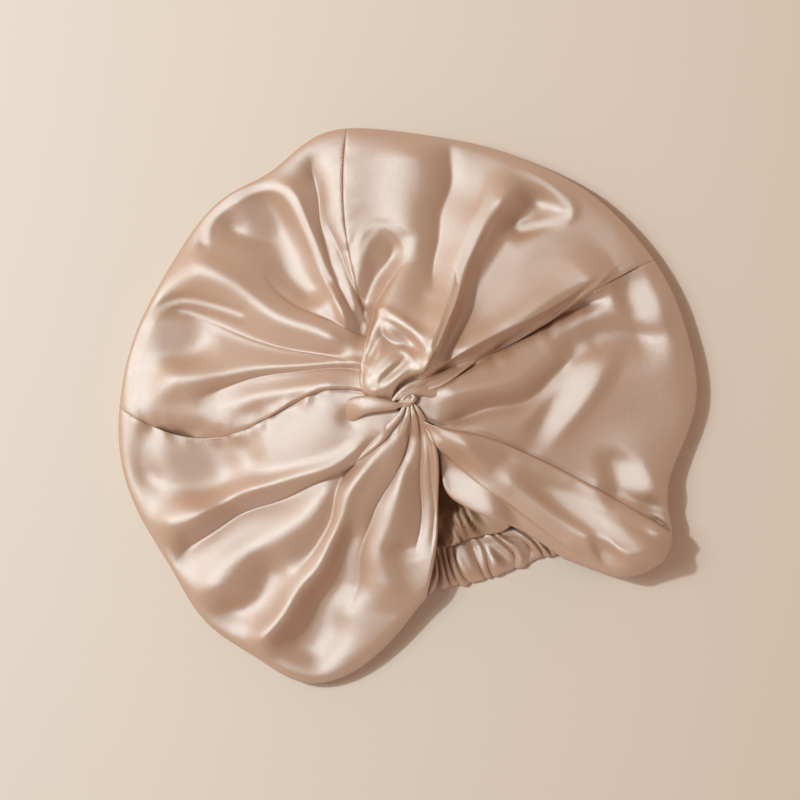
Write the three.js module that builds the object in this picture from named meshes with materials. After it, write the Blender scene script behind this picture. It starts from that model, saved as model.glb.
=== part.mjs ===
// A satin sleep bonnet lying on its back with its front twist upwards. Millimetres, +Z up.
// The head goes in from the -Y side: over the gathered neck casing, which lies on the floor,
// and under the wrap and the brim band, which meet at the twist.
// Places on the cloth are polar: a bearing in degrees, counter-clockwise from +X, and a reach from the twist.

import * as THREE from "three";

// Driving dimensions
const CLOTH = 1.6; // thickness of a cloth wall, with its seam allowances and the air between its layers
const SEAM_GAP = 1.2; // between two panels that are sewn together
const CROWN = { height: 46, edge: 34 }; // the height at the twist, and how sharply the cloth turns at the rim
const TWIST = { dip: 3, reach: 18, hole: 13 }; // how the cloth is drawn in and down at the twist
const RIM = { roll: 14, fade: 16 }; // how far the rim rolls under, and how sharply folds die out at it
// The lobe of cloth that crosses over the twist: how high its outer face lies over the crown at the twist and
// at its far end, and the share of its length where it begins to settle.
const LOBE = { lift: 6, settled: 3.8, settles: 0.3, columns: 9, steps: 10 };
const KNOT = { radius: 10.5, height: 9, middle: 40, pleats: 7, depth: 0.9, turn: 1.4, around: 28, down: 12 };
// The elasticated neck edge, between two bearings. It is gathered into ruffles, and lies on the floor.
const CASING = { first: 256, last: 314, width: 22, inset: 3, height: 4.4, ruffle: 1.6, gathers: 15 };
const CASING_GRID = { perGather: 4, steps: 5 };
const BACK_STEP = 3; // degrees between the points of the flat back's outline

// A panel's rows: the first share of the outline's reach, the share of its rows that lie on top, before the
// widest point, and how far these crowd towards the rim, where the cloth turns down.
const PANEL = { start: 0.08, onTop: 0.8, crowding: 1.6 };
// How a fold begins and ends, in shares of its own length.
const FOLD_ENDS = { from: -0.15, full: 0.2, fading: 0.75, gone: 1.15 };

// How the crown falls away from the twist, as shares of its height at these shares of the outline's reach.
const FALL_SHARES = [0, 0.1, 0.2, 0.35, 0.5, 0.65, 0.8, 0.92, 1];
const FALLS = [1, 0.97, 0.88, 0.7, 0.53, 0.4, 0.31, 0.25, 0.2];

// The bonnet's outline, seen from above. rim is the height of the widest point over the floor, and curl how
// far the edge rolls under: 1 down to the floor, and less where the edge is free, round the mouth.
const OUTLINE = [
  { bearing: 0, reach: 173.7, rim: 9, curl: 1 },
  { bearing: 12, reach: 173.6, rim: 9, curl: 1 },
  { bearing: 24, reach: 172.3, rim: 9, curl: 1 },
  { bearing: 36, reach: 169.3, rim: 10, curl: 1 },
  { bearing: 48, reach: 166.5, rim: 10, curl: 1 },
  { bearing: 60, reach: 162.2, rim: 10, curl: 1 },
  { bearing: 72, reach: 159.9, rim: 10, curl: 1 },
  { bearing: 84, reach: 159.4, rim: 10, curl: 1 },
  { bearing: 96, reach: 163.6, rim: 11, curl: 1 },
  { bearing: 108, reach: 167.1, rim: 11, curl: 1 },
  { bearing: 120, reach: 159.1, rim: 11, curl: 1 },
  { bearing: 132, reach: 162.8, rim: 10, curl: 1 },
  { bearing: 144, reach: 162.1, rim: 10, curl: 1 },
  { bearing: 156, reach: 162.7, rim: 10, curl: 1 },
  { bearing: 168, reach: 166.4, rim: 10, curl: 1 },
  { bearing: 180, reach: 169.9, rim: 11, curl: 1 },
  { bearing: 192, reach: 173, rim: 10, curl: 1 },
  { bearing: 204, reach: 171.9, rim: 10, curl: 1 },
  { bearing: 216, reach: 171.3, rim: 10, curl: 1 },
  { bearing: 228, reach: 177.1, rim: 9, curl: 1 },
  { bearing: 240, reach: 176.6, rim: 9, curl: 1 },
  { bearing: 251, reach: 177.5, rim: 8, curl: 0.3 },
  { bearing: 260, reach: 161.9, rim: 8, curl: 0.2 },
  { bearing: 268, reach: 138.9, rim: 9, curl: 0.15 },
  { bearing: 276, reach: 118.3, rim: 13, curl: 0.12 },
  { bearing: 284, reach: 114.8, rim: 13, curl: 0.12 },
  { bearing: 292, reach: 116.6, rim: 13, curl: 0.12 },
  { bearing: 300, reach: 118.4, rim: 13, curl: 0.12 },
  { bearing: 308, reach: 123, rim: 13, curl: 0.12 },
  { bearing: 315, reach: 131.7, rim: 13, curl: 0.12 },
  { bearing: 320, reach: 160.8, rim: 13, curl: 0.3 },
  { bearing: 326, reach: 177.5, rim: 14, curl: 1 },
  { bearing: 332, reach: 179.7, rim: 16, curl: 1 },
  { bearing: 338, reach: 169.1, rim: 15, curl: 1 },
  { bearing: 344, reach: 164.4, rim: 13, curl: 1 },
  { bearing: 352, reach: 168.4, rim: 10, curl: 1 },
];

// The main folds. Each runs out from the twist between two reaches, through a bearing at its start, middle
// and end, and widens as it goes. rise is the height of a ridge, or less than nothing for a valley.
const FOLDS = [
  { name: "lobe ridge", start: 28, end: 137, bearings: [63, 66, 64], widths: [5, 15], rise: 9 },
  { name: "valley right of the lobe", start: 30, end: 122, bearings: [50, 57, 60], widths: [5, 8], rise: -4 },
  { name: "upper right dent", start: 108, end: 146, bearings: [58, 57, 55], widths: [11, 17], rise: -6 },
  { name: "upper right swell", start: 70, end: 150, bearings: [42, 43, 42], widths: [13, 28], rise: 2 },
  { name: "ridge on the right seam", start: 24, end: 139, bearings: [46, 35, 32], widths: [5, 12], rise: 5 },
  { name: "right seam crease", start: 24, end: 130, bearings: [27, 28, 28], widths: [3.5, 5], rise: -6 },
  { name: "right ridge", start: 16, end: 92, bearings: [10, 9, 13], widths: [4, 10], rise: 4 },
  { name: "right valley", start: 24, end: 104, bearings: [-24, -3, 11], widths: [5, 13], rise: -6 },
  { name: "right swell", start: 64, end: 156, bearings: [-13, -10, -6], widths: [12, 30], rise: 3 },
  { name: "dent by the band end", start: 126, end: 166, bearings: [-21, -22, -23], widths: [8, 9], rise: -6 },
  { name: "band ridge", start: 26, end: 140, bearings: [-56, -45, -42], widths: [9, 15], rise: 5 },
  { name: "band crown", start: 88, end: 172, bearings: [-36, -37, -35], widths: [8, 14], rise: 5 },
  { name: "upper ridge", start: 82, end: 154, bearings: [88, 90, 92], widths: [7, 9], rise: 6 },
  { name: "upper valley", start: 72, end: 154, bearings: [80, 83, 85], widths: [6, 7], rise: -6 },
  { name: "top cup", start: 42, end: 98, bearings: [112, 103, 98], widths: [6, 11], rise: -8 },
  { name: "top seam crease", start: 46, end: 148, bearings: [124, 116, 111], widths: [3.5, 6], rise: -5 },
  { name: "upper left ridge", start: 52, end: 150, bearings: [127, 121, 122], widths: [4, 9], rise: 6 },
  { name: "upper left dent", start: 56, end: 152, bearings: [131, 129, 131], widths: [7, 23], rise: -9 },
  { name: "left ridge", start: 46, end: 150, bearings: [126, 143, 149], widths: [5, 15], rise: 5 },
  { name: "left dent", start: 40, end: 150, bearings: [144, 152, 160], widths: [6, 20], rise: -7 },
  { name: "low left ridge", start: 38, end: 150, bearings: [150, 169, 174], widths: [5, 13], rise: 5 },
  { name: "crease by the gathers", start: 33, end: 90, bearings: [157, 182, 191], widths: [3, 5], rise: -6 },
  { name: "left seam dent", start: 62, end: 152, bearings: [199, 198, 198], widths: [9, 24], rise: -6 },
  { name: "wrap ridge", start: 38, end: 157, bearings: [188, 209, 211], widths: [6, 12], rise: 7 },
  { name: "wrap ridge crease", start: 16, end: 122, bearings: [243, 226, 213], widths: [3, 6], rise: -7 },
  { name: "lower left ridge", start: 50, end: 158, bearings: [231, 227, 225], widths: [6, 13], rise: 5 },
  { name: "long ridge", start: 24, end: 165, bearings: [244, 237, 238], widths: [4, 10], rise: 6 },
  { name: "bottom dent", start: 70, end: 160, bearings: [247, 247, 247], widths: [6, 20], rise: -6 },
  { name: "bottom crease", start: 24, end: 128, bearings: [266, 256, 255], widths: [3, 5], rise: -5 },
  { name: "bottom ridge", start: 30, end: 124, bearings: [268, 264, 267], widths: [4, 13], rise: 5 },
];

// Where one panel ends and the next begins: the bearing of each line at these shares of the outline's reach.
const SEAM_SHARES = [0.08, 0.14, 0.27, 0.42, 0.6, 0.8, 1];
const SEAMS = {
  top: [120, 119.5, 117.5, 113.5, 110, 106, 102],
  left: [166, 167, 171, 183, 190.5, 188, 181],
  right: [20, 23, 27, 28.5, 29, 30.3, 29.7],
  bandTop: [-44, -35, -24, -22.7, -23.3, -24.6, -26],
  wrapEdge: [305, 304, 300, 293, 286.5, 281, 276],
  bandEdge: [-54, -54, -57, -63, -60, -49, -44.6],
};
// The two edges of the lobe: their bearings at these reaches.
const LOBE_REACHES = [15, 25, 30, 43, 62, 84];
const LOBE_LEFT = [172, 166, 150, 119, 101, 88];
const LOBE_RIGHT = [96, 72, 66, 64, 64, 66];

// ---- reading the tables ----

const { clamp, lerp, mapLinear, smoothstep, euclideanModulo, degToRad, radToDeg } = THREE.MathUtils;

// A smooth curve through a table's rows, which gives an array of one value for each column.
function smoothTable(positions, values, columns = 1) {
  const curve = new THREE.CubicInterpolant(positions, values, columns, new Float64Array(columns));
  return (at) => curve.evaluate(clamp(at, positions[0], positions.at(-1)));
}

const LEAST_CURL = Math.min(...OUTLINE.map((row) => row.curl));
const turns = [-360, 0, 360];
const rows = turns.flatMap((turn) => OUTLINE.map((row) => ({ ...row, bearing: row.bearing + turn })));
const outlineCurve = smoothTable(
  rows.map((row) => row.bearing),
  rows.flatMap((row) => [row.reach, row.rim, row.curl]),
  3,
);

function outlineAt(bearing) {
  const [reach, rim, curl] = outlineCurve(euclideanModulo(bearing, 360));
  return { reach, rim, curl: clamp(curl, LEAST_CURL, 1) };
}

const seamCurves = Object.fromEntries(
  Object.entries(SEAMS).map(([name, bearings]) => [name, smoothTable(SEAM_SHARES, bearings)]),
);
const fallAt = smoothTable(FALL_SHARES, FALLS);
const lobeLeft = smoothTable(LOBE_REACHES, LOBE_LEFT);
const lobeRight = smoothTable(LOBE_REACHES, LOBE_RIGHT);

// ---- the height of the cloth ----

function foldHeight(fold, bearing, reach) {
  const along = (reach - fold.start) / (fold.end - fold.start);
  const [first, middle, last] = fold.bearings;
  const straight = lerp(first, last, along);
  const centre = straight + 4 * along * (1 - along) * (middle - (first + last) / 2);
  const turn = euclideanModulo(bearing - centre + 180, 360) - 180;
  const width = lerp(fold.widths[0], fold.widths[1], clamp(along, 0, 1));
  const aside = (degToRad(turn) * reach) / width;
  const begun = smoothstep(along, FOLD_ENDS.from, FOLD_ENDS.full);
  const left = 1 - smoothstep(along, FOLD_ENDS.fading, FOLD_ENDS.gone);
  return fold.rise * begun * left * Math.exp(-aside * aside);
}

function clothHeight(bearing, reach) {
  const edge = outlineAt(bearing);
  const share = Math.min(reach / edge.reach, 1);
  const dome = fallAt(share)[0] * Math.sqrt(1 - share ** CROWN.edge);
  const folds = FOLDS.reduce((sum, fold) => sum + foldHeight(fold, bearing, reach), 0);
  return (
    edge.rim +
    (CROWN.height - edge.rim) * dome -
    TWIST.dip * Math.exp(-((reach / TWIST.reach) ** 2)) +
    folds * (1 - share ** RIM.fade)
  );
}

function place(bearing, reach, z) {
  return new THREE.Vector3(Math.cos(degToRad(bearing)) * reach, Math.sin(degToRad(bearing)) * reach, z);
}

// ---- closed walls ----

// A closed wall between two grids of points, top(i, j) and bottom(i, j), with i across and j along.
function wallBetween(columns, steps, top, bottom) {
  const points = [];
  const faces = [];
  const row = steps + 1;
  const layer = (columns + 1) * row;
  for (const side of [top, bottom])
    for (let i = 0; i <= columns; i++)
      for (let j = 0; j <= steps; j++) points.push(...side(i, j).toArray());
  const quad = (a, b, c, d) => faces.push(a, b, c, a, c, d);
  const at = (i, j) => i * row + j;
  for (let i = 0; i < columns; i++)
    for (let j = 0; j < steps; j++) {
      quad(at(i, j), at(i, j + 1), at(i + 1, j + 1), at(i + 1, j));
      quad(layer + at(i, j), layer + at(i + 1, j), layer + at(i + 1, j + 1), layer + at(i, j + 1));
    }
  const edge = (a, b) => quad(b, a, layer + a, layer + b);
  for (let i = 0; i < columns; i++) {
    edge(at(i + 1, 0), at(i, 0));
    edge(at(i, steps), at(i + 1, steps));
  }
  for (let j = 0; j < steps; j++) {
    edge(at(0, j), at(0, j + 1));
    edge(at(columns, j + 1), at(columns, j));
  }
  const geometry = new THREE.BufferGeometry();
  geometry.setAttribute("position", new THREE.Float32BufferAttribute(points, 3));
  geometry.setIndex(faces);
  return geometry;
}

// A sheet of cloth: surface(across, along) is its outer face, with both running from 0 to 1.
function clothSheet(columns, steps, surface) {
  const nudge = 1e-3;
  const outer = (i, j) => surface(i / columns, j / steps);
  const inner = (i, j) => {
    const [across, along] = [i / columns, j / steps];
    const after = (value) => Math.min(value + nudge, 1);
    const before = (value) => Math.max(value - nudge, 0);
    const acrossWay = surface(after(across), along).sub(surface(before(across), along));
    const alongWay = surface(across, after(along)).sub(surface(across, before(along)));
    const normal = alongWay.cross(acrossWay).normalize();
    return outer(i, j).addScaledVector(normal, -CLOTH);
  };
  return wallBetween(columns, steps, outer, inner);
}

// A panel that fans out from the twist between two seams, over the rim and under it.
function fanPanel({ right, left, columns, steps }) {
  return clothSheet(columns, steps, (across, along) => {
    const share = lerp(PANEL.start, 1, 1 - (1 - Math.min(along / PANEL.onTop, 1)) ** PANEL.crowding);
    const trim = radToDeg(SEAM_GAP / 2 / (share * OUTLINE[0].reach));
    const bearing = lerp(seamCurves[right](share)[0] + trim, seamCurves[left](share)[0] - trim, across);
    const edge = outlineAt(bearing);
    if (along <= PANEL.onTop) {
      const reach = mapLinear(share, PANEL.start, 1, TWIST.hole, edge.reach);
      return place(bearing, reach, clothHeight(bearing, reach));
    }
    const rolled = (Math.PI / 2) * edge.curl * ((along - PANEL.onTop) / (1 - PANEL.onTop));
    return place(bearing, edge.reach - RIM.roll * (1 - Math.cos(rolled)), edge.rim * (1 - Math.sin(rolled)));
  });
}

// ---- the pieces ----

function lobe() {
  return clothSheet(LOBE.columns, LOBE.steps, (across, along) => {
    const reach = lerp(LOBE_REACHES[0], LOBE_REACHES.at(-1), along);
    const bearing = lerp(lobeRight(reach)[0], lobeLeft(reach)[0], across);
    const lift = lerp(LOBE.lift, LOBE.settled, smoothstep(along, LOBE.settles, 1));
    return place(bearing, reach, clothHeight(bearing, reach) + lift);
  });
}

// The rolled cloth at the middle of the twist: a ball with pleats that turn as they go down.
function knot() {
  const geometry = new THREE.SphereGeometry(1, KNOT.around, KNOT.down);
  const position = geometry.getAttribute("position");
  for (let i = 0; i < position.count; i++) {
    const [x, y, z] = [position.getX(i), position.getZ(i), position.getY(i)];
    const spin = Math.atan2(y, x) + KNOT.turn * z;
    const radius = KNOT.radius - KNOT.depth * (1 + Math.cos(KNOT.pleats * spin)) * Math.hypot(x, y);
    position.setXYZ(i, -x * radius, y * radius, KNOT.middle + z * KNOT.height);
  }
  geometry.deleteAttribute("normal");
  geometry.deleteAttribute("uv");
  return geometry;
}

function neckCasing() {
  const columns = CASING.gathers * CASING_GRID.perGather;
  const { steps } = CASING_GRID;
  const spot = (i, j, z) => {
    const bearing = lerp(CASING.first, CASING.last, i / columns);
    const reach = outlineAt(bearing).reach - CASING.inset - CASING.width * (1 - j / steps);
    return place(bearing, reach, z);
  };
  const ruffled = (i, j) => {
    const wave = Math.cos((i / columns) * CASING.gathers * 2 * Math.PI);
    const bulge = Math.sin((Math.PI * (j + 1)) / (steps + 2));
    return spot(i, j, (CASING.height + CASING.ruffle * wave) * bulge);
  };
  return wallBetween(columns, steps, ruffled, (i, j) => spot(i, j, 0));
}

// The bonnet's flat back. It stops at the rolled rim, and at the casing round the mouth.
function backPanel() {
  const outline = [];
  for (let bearing = 0; bearing < 360; bearing += BACK_STEP) {
    const edge = outlineAt(bearing);
    const rolled = smoothstep(edge.curl, LEAST_CURL, 1);
    const inset = SEAM_GAP + lerp(CASING.inset + CASING.width, RIM.roll, rolled);
    const { x, y } = place(bearing, edge.reach - inset, 0);
    outline.push(new THREE.Vector2(x, y));
  }
  return new THREE.ExtrudeGeometry(new THREE.Shape(outline), { depth: CLOTH, bevelEnabled: false });
}

// ---- putting it together ----

const satin = new THREE.MeshStandardMaterial({ color: "#c9a58c", roughness: 0.35, metalness: 0.1 });
const satinInside = new THREE.MeshStandardMaterial({ color: "#b8937b", roughness: 0.5, metalness: 0.05 });

const bonnet = new THREE.Group();
const pieces = {
  crown_right: [fanPanel({ right: "right", left: "top", columns: 17, steps: 19 }), satin],
  crown_left: [fanPanel({ right: "top", left: "left", columns: 19, steps: 19 }), satin],
  wrap_left: [fanPanel({ right: "left", left: "wrapEdge", columns: 24, steps: 20 }), satin],
  side_right: [fanPanel({ right: "bandTop", left: "right", columns: 14, steps: 18 }), satin],
  brim_band: [fanPanel({ right: "bandEdge", left: "bandTop", columns: 8, steps: 16 }), satin],
  twist_lobe: [lobe(), satin],
  twist_knot: [knot(), satin],
  neck_casing: [neckCasing(), satin],
  back_panel: [backPanel(), satinInside],
};
for (const [name, [geometry, material]] of Object.entries(pieces)) {
  const mesh = new THREE.Mesh(geometry, material);
  mesh.name = name;
  bonnet.add(mesh);
}

// The origin is on the floor, under the middle of the bonnet's box.
const box = new THREE.Box3().setFromObject(bonnet);
bonnet.position.set(-(box.min.x + box.max.x) / 2, -(box.min.y + box.max.y) / 2, -box.min.z);

export default bonnet;
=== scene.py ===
# A satin sleep bonnet, lying on its back on a pale floor with its front twist upwards.
import math

import bmesh
import bpy
import numpy as np
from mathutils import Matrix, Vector


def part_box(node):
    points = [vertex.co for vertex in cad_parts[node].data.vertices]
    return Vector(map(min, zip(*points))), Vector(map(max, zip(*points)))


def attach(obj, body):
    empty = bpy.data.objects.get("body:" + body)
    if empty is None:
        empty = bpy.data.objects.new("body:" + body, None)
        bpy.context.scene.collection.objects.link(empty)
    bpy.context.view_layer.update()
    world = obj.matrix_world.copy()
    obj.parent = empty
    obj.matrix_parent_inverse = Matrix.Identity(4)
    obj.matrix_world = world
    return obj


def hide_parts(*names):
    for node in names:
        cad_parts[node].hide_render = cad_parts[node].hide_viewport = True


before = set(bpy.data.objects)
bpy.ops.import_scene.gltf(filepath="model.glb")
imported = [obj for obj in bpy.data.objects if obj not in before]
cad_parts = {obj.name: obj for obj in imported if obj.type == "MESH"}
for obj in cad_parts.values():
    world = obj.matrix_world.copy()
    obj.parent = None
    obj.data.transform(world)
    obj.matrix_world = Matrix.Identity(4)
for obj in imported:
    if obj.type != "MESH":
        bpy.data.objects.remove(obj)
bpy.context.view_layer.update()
mm = 0.001
tiny = 1e-9  # keeps a division clear of 0
knotLow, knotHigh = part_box("twist_knot")
twistX = (knotLow[0] + knotHigh[0]) / 2 / mm  # everything on the cloth is placed from the twist, in mm
twistY = (knotLow[1] + knotHigh[1]) / 2 / mm


def splineThrough(places, values):  # a smooth curve through the rows of a table
    places, values = np.array(places, float), np.array(values, float)
    count, gaps = len(places), np.diff(places)
    steps, pulls = np.eye(count), np.zeros(count)
    for i in range(1, count - 1):
        steps[i, i - 1 : i + 2] = gaps[i - 1], 2 * (gaps[i - 1] + gaps[i]), gaps[i]
        pulls[i] = 6 * ((values[i + 1] - values[i]) / gaps[i] - (values[i] - values[i - 1]) / gaps[i - 1])
    bends = np.linalg.solve(steps, pulls)

    def valueAt(place):
        place = np.clip(place, places[0], places[-1])
        i = np.clip(np.searchsorted(places, place) - 1, 0, count - 2)
        before, after = place - places[i], places[i + 1] - place
        gap = gaps[i]
        curved = (bends[i] * after**3 + bends[i + 1] * before**3) / (6 * gap)
        straight = (values[i] / gap - bends[i] * gap / 6) * after
        return curved + straight + (values[i + 1] / gap - bends[i + 1] * gap / 6) * before

    return valueAt


def softNoise(x, y, size, seed):  # soft hills about one unit high, of about this size
    draw = np.random.default_rng(seed)
    waves, total = 16, 0
    for _ in range(waves):
        turn, shift, wave = draw.uniform(0, 2 * math.pi, 2).tolist() + [size * draw.uniform(0.7, 1.7)]
        total = total + np.sin((x * math.cos(turn) + y * math.sin(turn)) * 2 * math.pi / wave + shift)
    return total / math.sqrt(waves / 2)


def ease(value, low, high):  # from 0 at low to 1 at high
    part = np.clip((value - low) / (high - low), 0, 1)
    return part * part * (3 - 2 * part)


# bearing (degrees, counter-clockwise from +X), reach from the twist, height of the widest point, and how far
# the edge curls under: 1 down to the floor, less where it is free, round the mouth
outlineRows = [
    (0, 173.7, 9, 1), (12, 173.6, 9, 1), (24, 172.3, 9, 1), (36, 169.3, 10, 1), (48, 166.5, 10, 1),
    (60, 162.2, 10, 1), (72, 159.9, 10, 1), (84, 159.4, 10, 1), (96, 163.6, 11, 1), (108, 167.1, 11, 1),
    (120, 159.1, 11, 1), (132, 162.8, 10, 1), (144, 162.1, 10, 1), (156, 162.7, 10, 1), (168, 166.4, 10, 1),
    (180, 169.9, 11, 1), (192, 173, 10, 1), (204, 171.9, 10, 1), (216, 171.3, 10, 1), (228, 177.1, 9, 1),
    (240, 176.6, 9, 1), (251, 177.5, 8, 0.3), (260, 161.9, 8, 0.2), (268, 138.9, 9, 0.15),
    (276, 118.3, 13, 0.12), (284, 114.8, 13, 0.12), (292, 116.6, 13, 0.12), (300, 118.4, 13, 0.12),
    (308, 123, 13, 0.12), (315, 131.7, 13, 0.12), (320, 160.8, 13, 0.3), (326, 177.5, 13, 1),
    (332, 179.7, 14, 1), (338, 169.1, 12, 1), (344, 164.4, 10.5, 1), (352, 168.4, 9, 1),
]
wrapped = [(row[0] + turn,) + row[1:] for turn in (-360, 0, 360) for row in outlineRows]
outlineReach, outlineRim, outlineCurl = (
    splineThrough([row[0] for row in wrapped], [row[i] for row in wrapped]) for i in (1, 2, 3)
)

# in mm: the dome's height, the dip round the twist, and how far the rim curls in; edge and fade are powers
# that keep the dome and its folds full until close to the rim; depth scales every fold; hills are soft ones
# over all of the cloth; wander is how far the folds' lines stray, in degrees, from this reach on
form = dict(
    height=46, edge=34, dip=3, dipReach=18, roll=14, fade=26, depth=1.3,
    hills=0.7, hillSize=55, wander=0.7, wanderSize=45, wanderFrom=(20, 70),
)
foldEnds = dict(before=6, start=10, end=14, after=8)  # how gently each fold comes up and dies away, in mm
overlap = dict(sheer=0.9, fade=9, hang=3)  # of a lap: width of its step, of its lift, of its overhang, in mm

# how the cloth falls away from the twist: share of the outline's reach, share of the height
fallRows = [
    (0, 1), (0.1, 0.97), (0.2, 0.88), (0.35, 0.7), (0.5, 0.53),
    (0.65, 0.4), (0.8, 0.31), (0.92, 0.25), (1, 0.2),
]
fallAt = splineThrough([row[0] for row in fallRows], [row[1] for row in fallRows])


def domeAt(share):  # the share of the height that is left, down to 0 at the rim
    return fallAt(share) * np.sqrt(np.clip(1 - share ** form["edge"], 0, 1))


# the lines where panels meet: share of the outline's reach, bearing
seamRows = dict(
    top=[(0.03, 120), (0.08, 120), (0.25, 118), (0.4, 114), (0.6, 110), (0.8, 106), (1, 102)],
    left=[(0.03, 166), (0.08, 166), (0.25, 170), (0.4, 182), (0.6, 190.5), (0.8, 188), (1, 181)],
    right=[(0.03, 18), (0.08, 20), (0.25, 27), (0.4, 28.5), (0.6, 29), (0.8, 30.3), (1, 29.7)],
    bandTop=[(0.03, -48), (0.08, -44), (0.14, -34.6), (0.27, -24), (0.42, -22.7), (0.69, -24), (1, -26.1)],
    wrapEdge=[(0.03, 340), (0.08, 326), (0.23, 307.6), (0.45, 292.4), (0.7, 284), (1, 276)],
    bandEdge=[(0.03, -60), (0.14, -54), (0.3, -57), (0.42, -64), (0.52, -65), (0.66, -56), (0.81, -48.5),
              (1, -44.6)],
)
seamLines = {name: splineThrough(*zip(*rows)) for name, rows in seamRows.items()}

# Folds, each along a line. reach, bearing: points on the line; width, rise: at its start and end, with the
# rise under 0 for a valley; sharp: 2 rounded, nearer 1 creased; steep: how much narrower the side of lesser
# bearings is; step: a sheer lap at its start and end, over 0 where the side of greater bearings is on top
foldRows = [
    # between the right seam and the lobe
    dict(reach=(18, 44, 86, 144), bearing=(59, 62, 65, 63), width=(6, 14), rise=(5, 8), steep=0.35,
         step=(1.5, 0.6)),
    dict(reach=(24, 60, 134), bearing=(48, 57, 58), width=(5, 13), rise=(-3, -5)),
    dict(reach=(118, 134, 148), bearing=(59, 57, 55), width=(9, 15), rise=(-5, -6)),
    dict(reach=(70, 110, 150), bearing=(43, 42, 41), width=(14, 28), rise=(0.8, 0.5)),
    dict(reach=(18, 60, 100, 142), bearing=(50, 37, 33.5, 32), width=(5, 18), rise=(3, 8), steep=0.68,
         step=(1, 1.2)),
    dict(reach=(14, 50, 90, 132), bearing=(46, 30, 29, 28.5), width=(3, 7), rise=(-3, -8), sharp=1.5),
    # right
    dict(reach=(96, 130, 156), bearing=(18, 17, 14), width=(8, 12), rise=(-4, -5)),
    dict(reach=(20, 60, 112), bearing=(10, 10, 17), width=(6, 13), rise=(4, 4)),
    dict(reach=(26, 45, 69, 88, 108), bearing=(-26, -6, 1, 9, 15), width=(5, 10), rise=(-5, -7), sharp=1.6),
    dict(reach=(128, 150, 168), bearing=(-22, -23, -24.5), width=(7, 9), rise=(-6, -9)),
    # top
    dict(reach=(86, 120, 158), bearing=(92, 89, 87), width=(12, 18), rise=(3, 4.5)),
    dict(reach=(70, 110, 158), bearing=(77, 79, 80), width=(6, 8), rise=(-3.5, -3.5), sharp=1.4),
    dict(reach=(42, 66, 83, 98), bearing=(124, 108, 99, 94), width=(6, 10), rise=(-7, -9)),
    # upper left
    dict(reach=(53, 87, 115), bearing=(113, 114, 113), width=(3, 4), rise=(-3, -2), sharp=1.2),
    dict(reach=(50, 95, 117, 154), bearing=(122, 118, 115, 111), width=(4, 8), rise=(-4, -7), sharp=1.3),
    dict(reach=(55, 86, 122, 151), bearing=(128, 122, 119, 121), width=(4, 8), rise=(4, 5)),
    dict(reach=(78, 110, 155), bearing=(130, 129, 131), width=(10, 19), rise=(-8, -9), sharp=2.5),
    dict(reach=(42, 55, 88, 112), bearing=(120, 130, 139, 138), width=(4, 5), rise=(-3, -2), sharp=1.2,
         step=(1.8, 0.6)),
    dict(reach=(50, 90, 120, 158), bearing=(138, 145, 146, 148), width=(6, 12), rise=(4, 6)),
    dict(reach=(42, 64, 100, 158), bearing=(146, 154, 158, 160), width=(4, 17), rise=(-4, -8),
         step=(1.5, 0)),
    dict(reach=(30, 49, 69, 98, 150), bearing=(136, 152, 163, 170, 176), width=(3, 11), rise=(3, 5)),
    dict(reach=(30, 54, 83, 122), bearing=(144, 160, 170, 178), width=(3, 6), rise=(-4, -4), sharp=1.2,
         step=(1.2, 0)),
    dict(reach=(40, 67, 104), bearing=(164, 174, 180), width=(4, 7), rise=(2, 3)),
    # lower left
    dict(reach=(90, 132, 166), bearing=(198, 195, 193), width=(12, 23), rise=(-4, -9), sharp=2.5),
    dict(reach=(31, 54, 83, 108, 139, 168), bearing=(227, 223, 215, 209, 207, 209), width=(5, 9),
         rise=(4, 8)),
    dict(reach=(14, 53, 101, 142, 166), bearing=(246, 228, 217, 213, 214), width=(4, 9), rise=(-4, -7),
         sharp=1.3, step=(-2, -0.5)),
    dict(reach=(60, 110, 168), bearing=(229, 227, 223), width=(7, 12), rise=(2, 5)),
    dict(reach=(120, 172), bearing=(232, 231), width=(8, 12), rise=(-4, -6)),
    dict(reach=(26, 48, 77, 116), bearing=(232, 229.5, 236, 237), width=(4, 7), rise=(-4, -4), sharp=1.2,
         step=(1.6, 0.6)),
    dict(reach=(20, 46, 81, 123, 174), bearing=(242, 237, 240.5, 241, 239), width=(5, 9), rise=(3, 8)),
    dict(reach=(76, 120, 170), bearing=(248, 249, 247.5), width=(7, 18), rise=(-4, -10), sharp=2.5),
    dict(reach=(14, 36, 53, 80, 125), bearing=(276, 265, 257, 255, 256), width=(4, 8), rise=(-5, -4),
         sharp=1.2, step=(-1.8, 0.4)),
    dict(reach=(34, 80, 120), bearing=(268, 264, 264), width=(5, 12), rise=(3, 5)),
    dict(reach=(14, 37, 62, 88), bearing=(299, 283, 277, 273), width=(3, 6), rise=(-4, -4), sharp=1.2,
         step=(-1, -0.5)),
    dict(reach=(18, 41, 65, 90), bearing=(305, 292, 284, 279), width=(2, 3.5), rise=(-2.5, -2), sharp=1.3),
    # the brim band: its folded edge, and its soft ridge
    dict(reach=(26, 50, 84, 112, 140), bearing=(-56, -49, -44.5, -43, -42), width=(9, 15), rise=(3, 3),
         sharp=1.3, step=(1.5, 1)),
    dict(reach=(70, 120, 172), bearing=(-35, -36, -34), width=(9, 15), rise=(3, 6)),
    dict(reach=(60, 120, 172), bearing=(-29, -29.5, -30), width=(5, 8), rise=(-2, -4)),
]
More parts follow.
